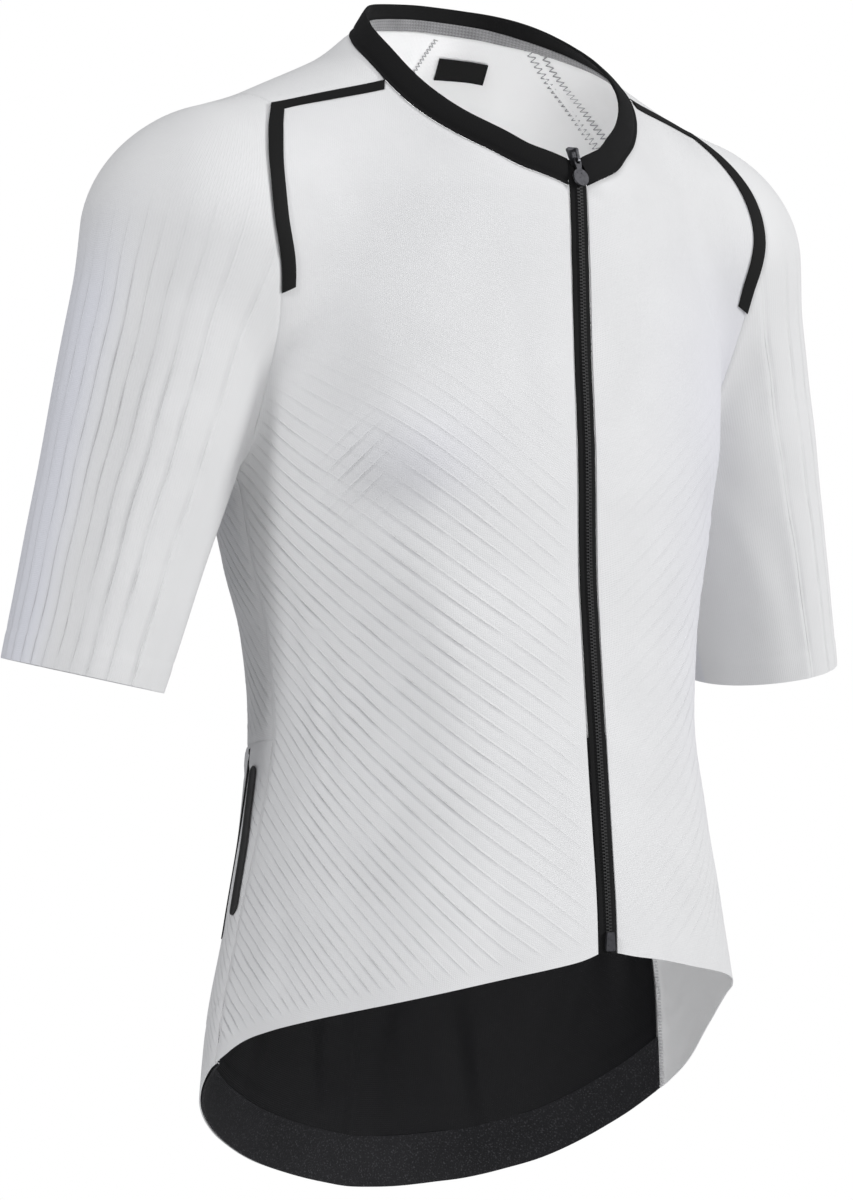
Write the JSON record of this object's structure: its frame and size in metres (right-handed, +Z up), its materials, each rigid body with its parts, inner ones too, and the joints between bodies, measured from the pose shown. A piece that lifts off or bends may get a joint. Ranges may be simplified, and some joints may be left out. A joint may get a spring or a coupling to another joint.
{
  "type": "cycling jersey",
  "caption": "Short-sleeved cycling jersey with a full front zip, black collar and shoulder tapes and a dark gripper hem, holding the hollow form in which it is worn.",
  "frame": {"origin": "in the neck opening, on the jersey's centre plane, where the wearer's neck and shoulders carry it; about 40 mm below the back of the neck seam and 67 mm above its front", "axes": "+Z up, the wearer faces -Y, the wearer's left side is +X"},
  "size_m": [0.6044, 0.2627, 0.7266],
  "materials": {
    "white_cloth": "matt knitted cloth",
    "black_cloth": "matt knitted cloth",
    "black_tape": "matt bonded tape",
    "grey_tape": "woven tape",
    "gripper": "elastic with a pale fleck",
    "zip_cloth": "woven zip tape with a fine coil",
    "tab_rubber": "satin",
    "zip_metal": "dark plated metal"
  },
  "bodies": {
    "jersey": {"front_right": "white_cloth", "front_left": "white_cloth", "back_upper": "white_cloth", "back_pocket": "white_cloth", "back_lower": "black_cloth", "hem_band": "gripper", "sleeve_right": "white_cloth", "sleeve_left": "white_cloth", "collar": "black_cloth", "zip_tape_right": "zip_cloth", "zip_tape_left": "zip_cloth", "shoulder_tape_right": "black_tape", "shoulder_tape_left": "black_tape", "neck_tape": "grey_tape", "neck_label": "black_tape", "side_tab": "tab_rubber", "pocket_line": "black_tape", "zip_slider": "zip_metal", "zip_box": "zip_metal"},
    "pull_tab": {"zip_pull": "zip_metal"}
  },
  "joints": [
    {"name": "pull_tab_swing", "type": "hinge", "parent": "jersey", "child": "pull_tab", "pos_m": [0, -0.10694, -0.05141], "axis": [-1, 0, 0], "range_deg": [0, 120]}
  ]
}
